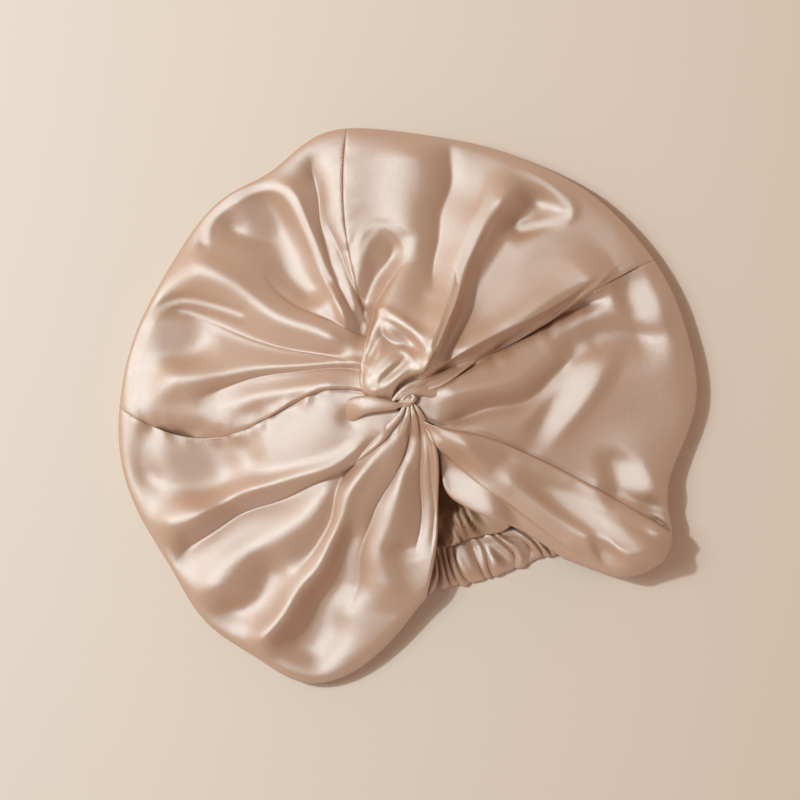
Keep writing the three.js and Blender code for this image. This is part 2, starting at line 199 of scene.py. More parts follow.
# Dents and bumps that are not part of a fold: where they are from the twist, how long and wide, how far the
# long way is turned, and their rise
dentRows = [
    dict(east=-7, north=37, long=12, wide=7, turn=-35, rise=-7),
    dict(east=0, north=45, long=16, wide=4, turn=-31, rise=4),
    dict(east=-8, north=17, long=17, wide=7.5, turn=41, rise=6),
    dict(east=-7, north=18, long=11, wide=3.2, turn=41, rise=-5),
    dict(east=12, north=62, long=12, wide=9, turn=60, rise=-3),
    dict(east=25, north=26, long=8, wide=4, turn=12, rise=-3.5),
    dict(east=-32, north=-10, long=7, wide=6, turn=0, rise=-3),
    dict(east=77, north=121, long=11, wide=7, turn=-25, rise=-7),
    dict(east=158, north=-76, long=4, wide=2.5, turn=-25, rise=-8),
    dict(east=142, north=-86, long=36, wide=22, turn=-32, rise=13),
    dict(east=-2, north=-87, long=9, wide=5, turn=0, rise=-3),
]


def foldsAt(bearing, reach):  # the folds' height, and how far their laps overhang, at each place
    height, sway = np.zeros_like(reach), np.zeros_like(reach)
    for fold in foldRows:
        start, end = fold["reach"][0], fold["reach"][-1]
        line = splineThrough(fold["reach"], fold["bearing"])
        aside = np.radians((bearing - line(reach) + 180) % 360 - 180) * reach
        along = np.clip((reach - start) / (end - start), 0, 1)
        width = np.interp(along, (0, 1), fold["width"]) * np.where(aside < 0, 1 - fold.get("steep", 0), 1)
        ends = ease(reach, start - foldEnds["before"], start + foldEnds["start"])
        ends = ends * (1 - ease(reach, end - foldEnds["end"], end + foldEnds["after"]))
        rise = form["depth"] * np.interp(along, (0, 1), fold["rise"]) * ends
        height += rise * np.exp(-np.abs(aside / width) ** fold.get("sharp", 2))
        if "step" in fold:
            lap = np.interp(along, (0, 1), fold["step"]) * ends
            height += lap * np.tanh(aside / overlap["sheer"]) * np.exp(-np.abs(aside) / overlap["fade"])
            onTop = (1 + np.tanh(np.sign(lap) * aside / overlap["sheer"])) / 2
            sway -= lap * onTop * np.exp(-np.abs(aside) / overlap["hang"])
    return height, sway


def spreadAt(patch, east, north):  # 0 in the middle of an oval patch, 1 at its edge, more outside it
    turn = math.radians(patch["turn"])
    x, y = east - patch["east"], north - patch["north"]
    along = (x * math.cos(turn) + y * math.sin(turn)) / patch["long"]
    aside = (y * math.cos(turn) - x * math.sin(turn)) / patch["wide"]
    return along**2 + aside**2


def dentsAt(rows, east, north):
    return sum((dent["rise"] * np.exp(-spreadAt(dent, east, north)) for dent in rows), np.zeros_like(east))


def pullTaut(rows, east, north, height):  # patches where the cloth is pulled flat, tilted towards a bearing
    for patch in rows:
        toward = math.radians(patch["toward"])
        hold = np.exp(-(spreadAt(patch, east, north) ** 2))
        middle = (height * hold).sum() / max(hold.sum(), tiny)
        x, y = east - patch["east"], north - patch["north"]
        fall = math.tan(math.radians(patch["tilt"])) * (x * math.cos(toward) + y * math.sin(toward))
        height = height + (middle - fall - height) * hold * patch["hold"]
    return height


def layBands(rows, east, north, height):  # narrow bands along a line, each tilted towards a bearing
    steps, blur = 40, 3
    for band in rows:
        places, even = np.linspace(0, 1, len(band["east"])), np.linspace(0, 1, steps + 1)
        lineX, lineY = (splineThrough(places, band[side])(even) for side in ("east", "north"))
        lift = splineThrough(places, band["lift"])(even) if "lift" in band else 0 * even
        # the height of the cloth under the line, evened out over a few steps each way
        near = [np.exp(-((east - x) ** 2 + (north - y) ** 2) / 3) for x, y in zip(lineX, lineY)]
        crest = np.array([(height * weight).sum() / max(weight.sum(), tiny) for weight in near])
        window = np.ones(2 * blur + 1) / (2 * blur + 1)
        crest = np.convolve(np.pad(crest, blur, "edge"), window, "valid") + lift
        toward = math.radians(band["toward"])
        away, level, fall, part = (np.full(east.shape, value) for value in (1e9, 0.0, 0.0, 0.0))
        for k in range(steps):
            runX, runY = lineX[k + 1] - lineX[k], lineY[k + 1] - lineY[k]
            x, y = east - lineX[k], north - lineY[k]
            along = np.clip((x * runX + y * runY) / (runX**2 + runY**2), 0, 1)
            x, y = x - along * runX, y - along * runY
            closer = np.hypot(x, y) < away
            away = np.where(closer, np.hypot(x, y), away)
            level = np.where(closer, crest[k] + along * (crest[k + 1] - crest[k]), level)
            fall = np.where(closer, x * math.cos(toward) + y * math.sin(toward), fall)
            part = np.where(closer, (k + along) / steps, part)
        hold = band["hold"] * np.exp(-((away / np.interp(part, (0, 1), band["wide"])) ** 2.5))
        height = height + (level - math.tan(math.radians(band["tilt"])) * fall - height) * hold
    return height


def placed(east, north, z):  # places from the twist, in mm, as the frame's own in metres
    return np.stack([twistX + east, twistY + north, z], axis=-1) * mm


# The cloth's place, in metres. extra is more height in mm, which fades at the rim as the folds do
def clothAt(bearing, reach, dome, extra=0, taut=(), bands=()):
    edge, rim = outlineReach(bearing % 360), outlineRim(bearing % 360)
    share = np.clip(reach / edge, 0, 1)
    east, north = np.cos(np.radians(bearing)) * reach, np.sin(np.radians(bearing)) * reach
    wander = form["wander"] * softNoise(east, north, form["wanderSize"], seed=3)
    height, sway = foldsAt(bearing + wander * ease(reach, *form["wanderFrom"]), reach)
    hills = form["hills"] * softNoise(east, north, form["hillSize"], seed=8)
    height += dentsAt(dentRows, east, north) + hills
    alive = 1 - share ** form["fade"]
    z = rim + (form["height"] - rim) * dome + (height + extra) * alive
    z -= form["dip"] * np.exp(-((reach / form["dipReach"]) ** 2))
    z = layBands(bands, east, north, pullTaut(taut, east, north, z))
    swayed = np.radians(bearing) + sway * alive / np.maximum(reach, 1)
    return placed(np.cos(swayed) * reach, np.sin(swayed) * reach, z)


# Evenly spaced rows from the twist over the rim and under it, measured on a section of middling reach, whose
# dome rises this far over its rim
section = dict(reach=168, rise=36, rim=10, samples=3000, rimSamples=400)


def rimProfile(rows, begin):
    share = 1 - (1 - begin) * np.linspace(1, 0, section["samples"]) ** 2
    dome = domeAt(share)
    curl = np.linspace(0, math.pi / 2, section["rimSamples"])[1:]
    share = np.concatenate([share, np.ones_like(curl)])
    dome = np.concatenate([dome, np.zeros_like(curl)])
    curl = np.concatenate([np.zeros(len(share) - len(curl)), curl])
    across = section["reach"] * share - form["roll"] * (1 - np.cos(curl))
    up = section["rise"] * dome - section["rim"] * np.sin(curl)
    length = np.concatenate([[0], np.cumsum(np.hypot(np.diff(across), np.diff(up)))])
    even = np.linspace(0, length[-1], rows + 1)
    return [np.interp(even, length, values) for values in (share, dome, curl)]


def pieceFrom(name, bm):  # the bmesh as an object of the scene, shaded smooth
    mesh = bpy.data.meshes.new(name)
    bm.to_mesh(mesh)
    bm.free()
    mesh.polygons.foreach_set("use_smooth", [True] * len(mesh.polygons))
    piece = bpy.data.objects.new(name, mesh)
    bpy.context.collection.objects.link(piece)
    return piece


def clothGrid(name, columns, rows, surface):  # surface(i, j) places grid point i across, j along
    bm = bmesh.new()
    bmesh.ops.create_grid(bm, x_segments=columns, y_segments=rows, size=0.5)
    piece = pieceFrom(name, bm)
    mesh = piece.data
    flat = np.empty(len(mesh.vertices) * 3)
    mesh.vertices.foreach_get("co", flat)
    flat = flat.reshape(-1, 3)
    i = np.rint((flat[:, 0] + 0.5) * columns).astype(int)
    j = np.rint((flat[:, 1] + 0.5) * rows).astype(int)
    mesh.vertices.foreach_set("co", surface(i, j).ravel())
    corners = np.empty(len(mesh.loops), int)
    mesh.loops.foreach_get("vertex_index", corners)
    layer = mesh.uv_layers.new(name="weave")
    layer.data.foreach_set("uv", np.stack([i / columns, j / rows], axis=-1)[corners].ravel())
    mesh.update()
    return piece


def giveThickness(piece, thickness):
    wall = piece.modifiers.new("Wall", "SOLIDIFY")
    wall.thickness = thickness * mm
    wall.offset = -1


def edgeDrop(away, width):  # 1 at an edge and 0 from this width inwards, round as a quarter circle
    return 1 - np.sqrt(np.clip(1 - (1 - np.clip(away / width, 0, 1)) ** 2, 0, 1))


# A fan's columns crowd towards its edges. Along a seam the cloth puckers in beats of this size, over this
# width, from this reach on; where an edge is lifted over its neighbour, the lift fades inwards over a width,
# dies away round the reach named until, and the edge itself rolls down
fan = dict(
    begin=0.035, crowd=0.06, beat=11, puckerWidth=8, puckerFrom=(20, 50),
    liftFade=9, liftEnd=15, rollDepth=1.3, thickness=0.7,
)


def fanPiece(settings):
    columns, rows = settings["grid"]
    share, dome, curl = rimProfile(rows, settings.get("begin", fan["begin"]))
    leftLine, rightLine = seamLines[settings["left"]], seamLines[settings["right"]]
    crowd = np.linspace(0, 1, columns + 1)
    crowd = crowd - fan["crowd"] * np.sin(2 * math.pi * crowd)

    def surface(i, j):
        part, out = crowd[i], share[j]
        left, right = leftLine(out), rightLine(out)
        bearing = left + (right - left) * part
        edge, rim = outlineReach(bearing % 360), outlineRim(bearing % 360)
        bend = np.clip(outlineCurl(bearing % 360), 0.1, 1)  # a free edge still curls a little
        reach = edge * out
        fromLeft = np.radians(left - bearing) * reach
        fromRight = np.radians(bearing - right) * reach
        extra = np.zeros_like(reach)
        for away, side in ((fromLeft, "leftEdge"), (fromRight, "rightEdge")):
            sew = settings[side]
            extra -= sew["pinch"] * np.exp(-((away / sew["width"]) ** 2))
            beat = softNoise(reach, away / 2, fan["beat"], sew["seed"])
            beat = beat * np.exp(-((away / fan["puckerWidth"]) ** 2)) * ease(reach, *fan["puckerFrom"])
            extra += sew["pucker"] * beat
            if "lift" in sew:
                holds = 1 - ease(reach, sew["until"] - fan["liftEnd"], sew["until"] + fan["liftEnd"])
                extra += sew["lift"] * holds * np.exp(-away / fan["liftFade"])
                extra -= sew["radius"] * fan["rollDepth"] * holds * edgeDrop(away, sew["radius"])
        way = np.radians(bearing)
        extra += dentsAt(settings.get("dents", []), np.cos(way) * reach, np.sin(way) * reach)
        spot = clothAt(bearing, reach, dome[j], extra, settings.get("taut", []), settings.get("bands", []))
        under = curl[j] * bend
        rolled = np.maximum(reach - form["roll"] * (1 - np.cos(under)), 0)
        bent = under > 0
        spot[bent] = placed(np.cos(way) * rolled, np.sin(way) * rolled, rim * (1 - np.sin(under)))[bent]
        return spot

    piece = clothGrid(settings["name"], columns, rows, surface)
    giveThickness(piece, fan["thickness"])
    return piece


class Wire:  # a socket that can be used in sums, on either side of a number
    def __init__(self, tree, socket):
        self.tree, self.socket = tree, socket

    def math(self, operation, *values):
        node = self.tree.nodes.new("ShaderNodeMath")
        node.operation = operation
        for socket, value in zip(node.inputs, values):
            if isinstance(value, Wire):
                self.tree.links.new(value.socket, socket)
            else:
                socket.default_value = value
        return Wire(self.tree, node.outputs[0])

    def __add__(self, other):
        return self.math("ADD", self, other)

    def __radd__(self, other):
        return self.math("ADD", other, self)

    def __mul__(self, other):
        return self.math("MULTIPLY", self, other)

    def __rmul__(self, other):
        return self.math("MULTIPLY", other, self)

    def __rsub__(self, other):
        return self.math("SUBTRACT", other, self)


class Shader:  # the nodes of a material or world
    def __init__(self, owner):
        self.owner = owner
        owner.use_nodes = True
        self.tree = owner.node_tree
        self.tree.nodes.clear()

    # One way to add any node: its settings first, then its sockets by name, or by place where a name repeats
    def add(self, kind, settings=(), sockets=(), output=0):
        node = self.tree.nodes.new("ShaderNode" + kind)
        for name, value in dict(settings).items():
            setattr(node, name, value)
        for place, value in dict(sockets).items():
            if isinstance(value, Wire):
                self.tree.links.new(value.socket, node.inputs[place])
            else:
                node.inputs[place].default_value = value
        return Wire(self.tree, node.outputs[output]) if node.outputs else None

    def mixColours(self, share, first, second):
        return self.add("Mix", {"data_type": "RGBA"}, {0: share, 6: first, 7: second}, output=2)

    def noise(self, place, scale, detail):
        return self.add("TexNoise", (), {"Vector": place, "Scale": scale, "Detail": detail})


def linear(red, green, blue):  # a colour as seen on a screen, 0 to 255, as Blender's linear one
    parts = [value / 255 for value in (red, green, blue)]
    return tuple(p / 12.92 if p <= 0.04045 else ((p + 0.055) / 1.055) ** 2.4 for p in parts) + (1,)


# The pattern on the cloth: noise scales of its clouds of colour, fine grain and slubs, and of the threads
# across and along the piece's own map; shares of clouds and grain in its colour; what they add to roughness
weave = dict(
    clouds=14, grain=2900, slub=420, threads=(520, 1400, 1), depth=0.0004, slubDepth=0.04,
    cloudTone=0.8, grainTone=0.2, cloudRoughness=0.06, grainRoughness=0.16, sheenRoughness=0.45,
)


def satinMaterial(name, settings):
    shader = Shader(bpy.data.materials.new(name))
    place, ownMap = shader.add("TexCoord", output=3), shader.add("TexCoord", output=2)
    clouds = shader.noise(place, weave["clouds"], 3)
    grain = shader.noise(place, weave["grain"], 2)
    slub = shader.noise(place, weave["slub"], 2)
    stretched = shader.add("VectorMath", {"operation": "MULTIPLY"}, {0: ownMap, 1: weave["threads"]})
    threads = shader.noise(stretched, 1, 2)
    bump = shader.add("Bump", (), {
        "Strength": settings["grain"],
        "Distance": weave["depth"],
        "Height": grain + slub * weave["slubDepth"] + threads * settings["threads"],
    })
    tone = clouds * weave["cloudTone"] + grain * weave["grainTone"]
    unevenness = grain * weave["grainRoughness"] + clouds * weave["cloudRoughness"]
    satin = shader.add("BsdfPrincipled", (), {
        "Base Color": shader.mixColours(tone, settings["deep"], settings["light"]),
        "Roughness": unevenness + settings["roughness"],
        "Normal": bump,
        "IOR": settings["ior"],
        "Specular IOR Level": settings["gloss"],
        "Sheen Weight": settings.get("sheen", 0),
        "Sheen Roughness": weave["sheenRoughness"],
    })
    shader.add("OutputMaterial", (), {"Surface": satin})
    return shader.owner


satinLook = dict(
    deep=linear(180, 128, 93), light=linear(194, 145, 109), roughness=0.35, gloss=1, grain=0.6, threads=0.2,
    ior=2.5,
)
satin = satinMaterial("satin", satinLook)
satinGathered = satinMaterial("satinGathered", dict(satinLook, roughness=0.32, grain=0.58, threads=0.1))
# the back panel seen inside the mouth: the same satin, its colour painted a little darker as shade inside, and
# less glossy
satinInsideShaded = satinMaterial("satinInsideShaded", dict(
    deep=linear(172, 128, 98), light=linear(186, 142, 110), roughness=0.4, gloss=0.8, grain=0.4, threads=0.15,
    ior=1.6,
))
thread = satinMaterial("thread", dict(
    deep=linear(150, 112, 90), light=linear(170, 130, 106), roughness=0.6, gloss=0.4, grain=0.2, threads=0,
    ior=1.5, sheen=0.2,
))


def finishPiece(piece, material, nodes=()):
    piece.data.materials.clear()
    piece.data.materials.append(material)
    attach(piece, "root")
    if nodes:
        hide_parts(*nodes)


# Edges of a panel: pinch and its width press the cloth down along a seam, pucker crumples it, lift and radius
# raise and round an edge that lies on top, as far as the reach named until.
# taut: oval patches pulled flat; bands: narrow flats along a line, as wide as this at its start and end, and
# lifted over the cloth by lift. Both tilt towards a bearing: towards the key light they shine, and away from it
# they stay dark
plain = dict(pinch=0.6, width=1.0, pucker=0.3, seed=1)
lit = dict(tilt=19, toward=160, hold=0.8)
panels = [
    dict(name="crownLeft", node="crown_left", left="left", right="top", grid=(200, 190),
         leftEdge=dict(pinch=0.5, width=1.5, pucker=0.5, seed=11, lift=3.5, radius=3, until=82),
         rightEdge=plain,
         taut=[
             dict(east=-136, north=38, long=20, wide=15, turn=-20, tilt=16, toward=340, hold=0.85),
             dict(east=-87, north=110, long=21, wide=13, turn=-50, tilt=17, toward=335, hold=0.85),
         ],
         bands=[
             dict(lit, east=[-163, -159, -149, -134, -118, -98],
                  north=[16, 35, 52, 60, 58, 52], wide=(3, 3.5)),
             dict(lit, east=[-119, -116, -105, -93, -81, -70, -61, -51, -44],
                  north=[95, 109, 119, 125, 128, 124, 107, 85, 72], wide=(3.5, 3)),
         ],
         cut=(0.27, 0.22), area=0.026),
    dict(name="crownRight", node="crown_right", left="top", right="right", grid=(190, 190),
         leftEdge=plain,
         rightEdge=dict(pinch=0.5, width=1.5, pucker=0.3, seed=12, lift=2.5, radius=2.5, until=115),
         dents=[dict(east=95, north=60, long=20, wide=4, turn=29, rise=-3)],
         taut=[
             dict(lit, east=43, north=22, long=15, wide=2, turn=36),
             dict(lit, east=68, north=39, long=24, wide=2.4, turn=31),
             dict(lit, east=99, north=60, long=24, wide=2.8, turn=38),
             dict(east=-14, north=89, long=13, wide=7, turn=75, tilt=15, toward=325, hold=0.8),
         ],
         bands=[
             dict(lit, east=[17, 25, 33, 39, 48, 57, 66, 76, 88, 97, 96, 85, 70],
                  north=[31, 51, 75, 96, 117, 131, 136, 134, 126, 117, 110, 106, 104],
                  lift=[0, 0, 0, 0, 0, 0, 0.5, 1.5, 2, 2, 1, 0.5, 0], wide=(3, 4.5)),
             dict(lit, east=[-31, -28, -21, -11, -3, 1], north=[84, 97, 104, 104, 98, 91],
                  lift=[0, 0.3, 0.6, 0.9, 0.9, 0.5], wide=(3, 3), hold=0.75),
         ],
         cut=(0.24, 0.22), area=0.024),
    dict(name="sideRight", node="side_right", left="right", right="bandTop", grid=(150, 190),
         leftEdge=plain, rightEdge=dict(pinch=1.5, width=2.5, pucker=0, seed=13),
         dents=[dict(east=151, north=-72, long=8, wide=3, turn=-30, rise=-6)],
         taut=[
             dict(lit, east=98, north=1, long=34, wide=11, turn=49, toward=152, hold=0.9),
             dict(lit, east=135, north=-45, long=20, wide=11, turn=-35, hold=0.85),
             dict(lit, east=142, north=60, long=19, wide=12, turn=-50, tilt=18, hold=0.85),
         ],
         cut=(0.2, 0.22), area=0.018),
    dict(name="brimBand", node="brim_band", left="bandTop", right="bandEdge", grid=(110, 190), begin=0.13,
         leftEdge=dict(pinch=0, width=2, pucker=0.1, seed=14, lift=2.5, radius=2.5, until=180),
         rightEdge=dict(pinch=0, width=2, pucker=0.1, seed=15, lift=0.5, radius=2.5, until=180),
         dents=[
             dict(east=37, north=-26, long=10, wide=5, turn=-35, rise=4),
             dict(east=153, north=-79, long=9, wide=3.5, turn=-30, rise=5),
         ],
         taut=[
             dict(lit, east=38, north=-52, long=28, wide=11, turn=-46, hold=0.9),
             dict(east=112, north=-70, long=44, wide=8, turn=-31, tilt=14, toward=155, hold=0.8),
             dict(east=122, north=-94, long=16, wide=6, turn=-50, tilt=16, toward=150, hold=0.6),
         ],
         cut=(0.12, 0.2), area=0.01),
    dict(name="wrapLeft", node="wrap_left", left="wrapEdge", right="left", grid=(240, 190),
         leftEdge=dict(pinch=0, width=2, pucker=0.1, seed=16, lift=1.5, radius=3, until=180),
         rightEdge=dict(pinch=0.8, width=1.6, pucker=0.6, seed=17),
         taut=[dict(east=-128, north=-37, long=30, wide=19, turn=-30, tilt=15, toward=340, hold=0.85)],
         cut=(0.3, 0.2), area=0.03),
]
for settings in panels:
    piece = fanPiece(settings)
    finishPiece(piece, satin, [settings["node"]])
print("panels made")


lobe = dict(
    reaches=[6, 9, 14, 21, 28, 34, 43, 51, 60, 72, 84, 96],
    left=[178, 178, 177, 174, 162, 141, 125, 115, 107, 98.5, 93, 88],
    right=[170, 126, 80, 57, 57, 57.5, 58.5, 59.5, 60.5, 62, 63, 64],
    grid=(130, 150), crowd=0.08, cut=(0.08, 0.1), area=0.0045,
    # how high it stands and where along it that dies away, how far its end sinks and where, the width and
    # depth of the roll at each edge, and where the rolls die away
    lift=6, liftFades=(0.4, 0.93), sink=0.4, sinkFrom=(0.75, 0.93),
    leftRoll=(10, 7), rightRoll=(4, 5), rollFades=(0.6, 1),
    taut=[
        dict(east=-3, north=38, long=12, wide=4.5, turn=-35, tilt=17, toward=330, hold=0.8),
        dict(east=-19, north=36, long=15, wide=4, turn=72, tilt=17, toward=340, hold=0.75),
    ],
    bands=[
        dict(lit, east=[17, 25, 33, 38], north=[31, 51, 75, 92], wide=(2.4, 3.4), hold=0.85),
        dict(lit, east=[-14, -4, 6, 14], north=[53, 48, 40, 31], lift=[0, 1, 1.5, 1], wide=(3, 2.6)),
        dict(lit, east=[-18, -16, -6, 2, 6], north=[8, 20, 29, 27, 20], lift=[0, 0.5, 1.2, 1.2, 0.5],
             wide=(2.4, 2), tilt=20, hold=0.85),
        dict(east=[-25, -24, -15, -5], north=[8, 29, 65, 83], wide=(1.3, 1.3), tilt=22, toward=165, hold=0.7),
    ],
)


def makeLobe():
    columns, rows = lobe["grid"]
    leftLine, rightLine = (splineThrough(lobe["reaches"], lobe[side]) for side in ("left", "right"))
    first, last = lobe["reaches"][0], lobe["reaches"][-1]

    def surface(i, j):
        along = j / rows
        reach = first + (last - first) * along
        left, right = leftLine(reach), rightLine(reach)
        part = i / columns - lobe["crowd"] * np.sin(2 * math.pi * i / columns)
        bearing = left + (right - left) * part
        dome = domeAt(reach / outlineReach(bearing % 360))
        lift = lobe["lift"] * (1 - ease(along, *lobe["liftFades"]))
        lift = lift - lobe["sink"] * ease(along, *lobe["sinkFrom"])
        for away, (wide, deep) in (
            (np.radians(left - bearing) * reach, lobe["leftRoll"]),
            (np.radians(bearing - right) * reach, lobe["rightRoll"]),
        ):
            lift = lift - deep * edgeDrop(away, wide) * (1 - ease(along, *lobe["rollFades"]))
        return clothAt(bearing, reach, dome, lift, lobe["taut"], lobe["bands"])

    piece = clothGrid("twistLobe", columns, rows, surface)
    giveThickness(piece, fan["thickness"])
    finishPiece(piece, satinGathered, ["twist_lobe"])


makeLobe()
print("lobe made")


# flat: a strand's height as a share of its width; blunt: the power that rounds its ends
knot = dict(sides=14, steps=40, flat=0.48, blunt=8, cut=(0.04, 0.05), area=0.0015)
# each strand is a row of places from the twist, with its width there and its rise over the cloth below
strandRows = [
    dict(east=[-40, -33, -27, -20, -13, -6.5, -1], north=[-9, -5.5, -2.5, -1.4, -1.7, -2, -1.2],
         wide=[16, 14, 12, 10, 7.5, 5, 2.5], rise=[-8, -2, 2, 4, 5, 5, 3.5]),
    dict(east=[38, 31, 24.4, 15.9, 5.6, -1.3, -6, -8], north=[27, 21, 16.2, 13.6, 10.6, 6.8, 2, 0.5],
         wide=[4, 5, 5, 4.5, 4, 3.4, 2.6, 1.5], rise=[-4, -0.5, 1, 2, 3, 4, 4.5, 4]),
    dict(east=[30, 21, 13, 8, 2.1, -3, -4.7], north=[14, 11.5, 9.5, 8.9, 7, 3.3, 1],
         wide=[5, 6, 5, 4, 3.4, 2.8, 2], rise=[-5, -1, 1.2, 2.5, 3.5, 4.5, 4]),
    dict(east=[26, 19, 12.4, 7.3, 2.1, -0.6, -1.3, 1.3, 4.3, 4.9, 3.2],
         north=[5, 5, 5.9, 6.3, 5.4, 3.2, 1, 0, 1, 3.3, 4],
         wide=[4, 6, 5.5, 4.6, 4, 3.6, 3.2, 3, 2.8, 2.4, 2], rise=[-6, -1.5, 1, 2.5, 3.5, 4, 4, 4, 4, 4, 4]),
    dict(east=[-5, -1, 3, 7], north=[-2.2, -0.4, 1.4, 3], wide=[3, 7, 7, 3], rise=[1.5, 2.5, 2.5, 1.5]),
    dict(east=[0, -3, -9, -15], north=[-1.4, -7.4, -14.2, -19],
         wide=[1.6, 3.4, 4, 3], rise=[3, 2, 0.3, -2.5]),
    dict(east=[2, 1.1, -2.1, -5], north=[-1.4, -9, -17.7, -24],
         wide=[1.6, 3.6, 4.5, 3], rise=[3, 2, 0.3, -2.5]),
    dict(east=[3.6, 5.2, 6, 6.2], north=[-1.4, -9, -17.7, -24],
         wide=[1.6, 3.6, 4, 3], rise=[3, 2, 0.3, -2.5]),
    dict(east=[5.2, 9, 11.6, 13], north=[-1, -7.4, -14.2, -20],
         wide=[1.6, 2.6, 3, 2], rise=[3, 2, 0.5, -2]),
]


def groundAt(east, north):  # the cloth's height in mm over any place
    reach, bearing = np.hypot(east, north), np.degrees(np.arctan2(north, east))
    return clothAt(bearing, reach, domeAt(reach / outlineReach(bearing % 360)))[..., 2] / mm


def makeKnot():
    steps, sides = knot["steps"], knot["sides"]
    parts = []
    for row in strandRows:
        places = np.linspace(0, 1, len(row["east"]))
        lines = {name: splineThrough(places, values) for name, values in row.items()}

        def surface(i, j, lines=lines):
            along = i / steps
            east, north = lines["east"](along), lines["north"](along)
            ahead, behind = np.clip(along + 0.01, 0, 1), np.clip(along - 0.01, 0, 1)
            runX = lines["east"](ahead) - lines["east"](behind)
            runY = lines["north"](ahead) - lines["north"](behind)
            run = np.maximum(np.hypot(runX, runY), tiny)
            taper = np.sqrt(np.clip(1 - np.abs(2 * along - 1) ** knot["blunt"], 0, 1))
            half = lines["wide"](along) / 2 * taper
            turn = 2 * math.pi * j / sides
            out, up = np.cos(turn) * half, np.sin(turn) * half * knot["flat"]
            z = groundAt(east, north) + lines["rise"](along) + up
            return placed(east + runY / run * out, north - runX / run * out, z)

        parts.append(clothGrid("strand", steps, sides, surface))
    bm = bmesh.new()
    for part in parts:
        bm.from_mesh(part.data)
        bpy.data.objects.remove(part)
    bmesh.ops.remove_doubles(bm, verts=bm.verts, dist=0.02 * mm)
    bmesh.ops.recalc_face_normals(bm, faces=bm.faces)
    piece = pieceFrom("twistKnot", bm)
    finishPiece(piece, satinGathered, ["twist_knot"])


makeKnot()
print("knot made")


# The gathers of the neck edge run between two bearings. power sharpens the creases between them, and drift
# makes their spacing uneven
gathers = dict(first=254, last=317, power=0.65, drift=0.5, driftSize=18, unevenSize=13)
casing = dict(
    grid=(300, 36), cut=(0.2, 0.06), area=0.007, thickness=0.5, gathers=17, seed=5,
    hidden=dict(after=300, reach=128),  # under the band it stays inside this reach
    width=27, lip=9, turned=(0.85, 1.3),  # from its inner edge out to the hem, then back under from here on
    base=2.2, puff=1.5, ruffle=4.8, bulgeEnd=0.86, bulgePower=0.6,
    # its inner edge stands up, its hem falls, and its gathers spread out, each over a part of the way across
    innerRise=2.5, innerFades=(0, 0.25), hemFall=1.6, hemFrom=(0.8, 1), spread=2.2, spreadFrom=(0.3, 0.9),
)
back = dict(
    grid=150, cut=(0.34, 0.34), area=0.078, thickness=0.5, gathers=9, seed=6,
    rolled=15, seam=26,  # how far inside the outline it ends, where the rim rolls down to it and at the mouth
    base=1.2, neckRise=4, gather=5, hills=1.5, hillSize=40, span=170,
    neck=(255, 270, 322, 336), neckFrom=40, margin=4,  # where its edge rises towards the casing
    mouth=(0.25, -0.45), crowd=3, crowdWidth=0.28,  # its grid is finest at the mouth
)


def gatherAt(bearing, reach, settings):  # 0 in a crease, 1 on top of a gather
    share = (bearing - gathers["first"]) / (gathers["last"] - gathers["first"])
    drift = softNoise(bearing * 2, reach * 0.35, gathers["driftSize"], settings["seed"])
    uneven = 0.8 + 0.2 * softNoise(bearing * 2, reach * 0.6, gathers["unevenSize"], seed=4)
    phase = share * settings["gathers"] + gathers["drift"] * drift
    return np.abs(np.sin(math.pi * phase)) ** gathers["power"] * uneven


def makeCasing():
    columns, rows = casing["grid"]

    def surface(i, j):
        bearing = gathers["first"] + (gathers["last"] - gathers["first"]) * i / columns
        outline, hidden = outlineReach(bearing % 360), casing["hidden"]
        hem = np.where(bearing > hidden["after"], np.minimum(outline, hidden["reach"]), outline)
        down = j / rows
        inward = casing["width"] * np.clip(1 - down / casing["turned"][0], 0, 1)
        reach = hem - 1 - inward - casing["lip"] * ease(down, *casing["turned"])
        gather = gatherAt(bearing, reach, casing)
        bulge = np.sin(math.pi * np.clip(down / casing["bulgeEnd"], 0, 1)) ** casing["bulgePower"]
        z = casing["base"] + bulge * (casing["puff"] + casing["ruffle"] * gather)
        z = z + casing["innerRise"] * (1 - ease(down, *casing["innerFades"]))
        z = z - casing["hemFall"] * ease(down, *casing["hemFrom"])
        reach = reach + casing["spread"] * (gather - 0.5) * ease(down, *casing["spreadFrom"])
        way = np.radians(bearing)
        return placed(np.cos(way) * reach, np.sin(way) * reach, z)

    piece = clothGrid("neckCasing", columns, rows, surface)
    giveThickness(piece, casing["thickness"])
    finishPiece(piece, satinGathered, ["neck_casing"])


def crowded(part, centre):  # places from -1 to 1, closer together round the centre
    places = np.linspace(-1, 1, 2000)
    weight = np.cumsum(1 + back["crowd"] * np.exp(-(((places - centre) / back["crowdWidth"]) ** 2)))
    weight = (weight - weight[0]) / (weight[-1] - weight[0]) * 2 - 1
    return np.interp(part, weight, places)


